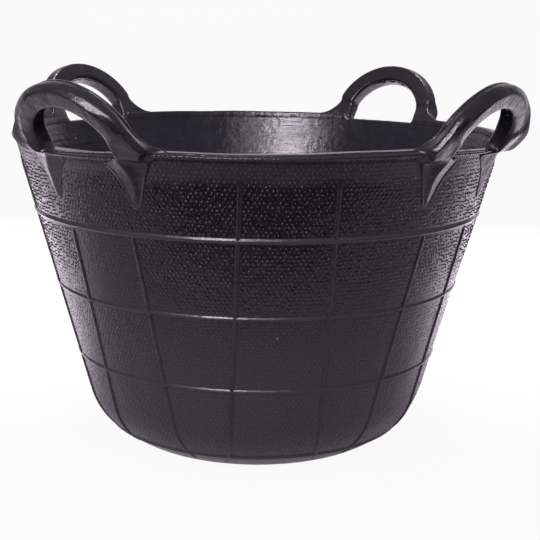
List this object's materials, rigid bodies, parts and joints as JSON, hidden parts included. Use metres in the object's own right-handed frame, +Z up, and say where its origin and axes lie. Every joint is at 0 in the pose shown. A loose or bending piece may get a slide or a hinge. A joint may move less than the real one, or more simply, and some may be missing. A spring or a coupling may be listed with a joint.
{
  "type": "rubber bucket",
  "caption": "Round black rubber bucket with a tapered ribbed wall, a rounded base and flexible loop handles on its rim, for carrying mortar, feed, water or rubble.",
  "frame": {"origin": "centre of the flat underside that the bucket stands on", "axes": "+Z up along the bucket's axis, -Y towards the front handle, +X towards the right handle"},
  "size_m": [0.5248, 0.524, 0.3541],
  "materials": {
    "smooth_rubber": "satin",
    "stippled_rubber": "satin, stippled outside"
  },
  "bodies": {
    "tub": {"floor": "smooth_rubber", "heel": "stippled_rubber", "wall": "stippled_rubber", "rim_bead": "smooth_rubber", "hoop_upper": "smooth_rubber", "hoop_middle": "smooth_rubber", "hoop_lower": "smooth_rubber", "hoop_heel": "smooth_rubber", "front_rib_left": "smooth_rubber", "front_right_rib_left": "smooth_rubber", "front_rib_right": "smooth_rubber", "front_right_rib_right": "smooth_rubber", "right_rib_left": "smooth_rubber", "right_back_rib_left": "smooth_rubber", "right_rib_right": "smooth_rubber", "right_back_rib_right": "smooth_rubber", "back_rib_left": "smooth_rubber", "back_left_rib_left": "smooth_rubber", "back_rib_right": "smooth_rubber", "back_left_rib_right": "smooth_rubber", "left_rib_left": "smooth_rubber", "left_front_rib_left": "smooth_rubber", "left_rib_right": "smooth_rubber", "left_front_rib_right": "smooth_rubber", "front_neck_left": "smooth_rubber", "front_neck_right": "smooth_rubber", "right_neck_left": "smooth_rubber", "right_neck_right": "smooth_rubber", "back_neck_left": "smooth_rubber", "back_neck_right": "smooth_rubber", "left_neck_left": "smooth_rubber", "left_neck_right": "smooth_rubber", "front_tongue_left": "smooth_rubber", "front_tongue_right": "smooth_rubber", "right_tongue_left": "smooth_rubber", "right_tongue_right": "smooth_rubber", "back_tongue_left": "smooth_rubber", "back_tongue_right": "smooth_rubber", "left_tongue_left": "smooth_rubber", "left_tongue_right": "smooth_rubber"},
    "front_handle": {"front_grip": "smooth_rubber"},
    "right_handle": {"right_grip": "smooth_rubber"},
    "back_handle": {"back_grip": "smooth_rubber"},
    "left_handle": {"left_grip": "smooth_rubber"}
  },
  "joints": [
    {"name": "front_handle_flex", "type": "hinge", "parent": "tub", "child": "front_handle", "pos_m": [0, -0.23227, 0.30503], "axis": [1, 0, 0], "range_deg": [-30, 25], "stiffness_Nm_per_rad": 5, "deforming": ["front_neck_left", "front_neck_right"]},
    {"name": "right_handle_flex", "type": "hinge", "parent": "tub", "child": "right_handle", "pos_m": [0.232, 0, 0.3052], "axis": [0, 1, 0], "range_deg": [-30, 25], "stiffness_Nm_per_rad": 5, "deforming": ["right_neck_left", "right_neck_right"]},
    {"name": "back_handle_flex", "type": "hinge", "parent": "tub", "child": "back_handle", "pos_m": [0, 0.23154, 0.30544], "axis": [-1, 0, 0], "range_deg": [-30, 25], "stiffness_Nm_per_rad": 5, "deforming": ["back_neck_left", "back_neck_right"]},
    {"name": "left_handle_flex", "type": "hinge", "parent": "tub", "child": "left_handle", "pos_m": [-0.23191, 0, 0.30525], "axis": [0, -1, 0], "range_deg": [-30, 25], "stiffness_Nm_per_rad": 5, "deforming": ["left_neck_left", "left_neck_right"]}
  ]
}
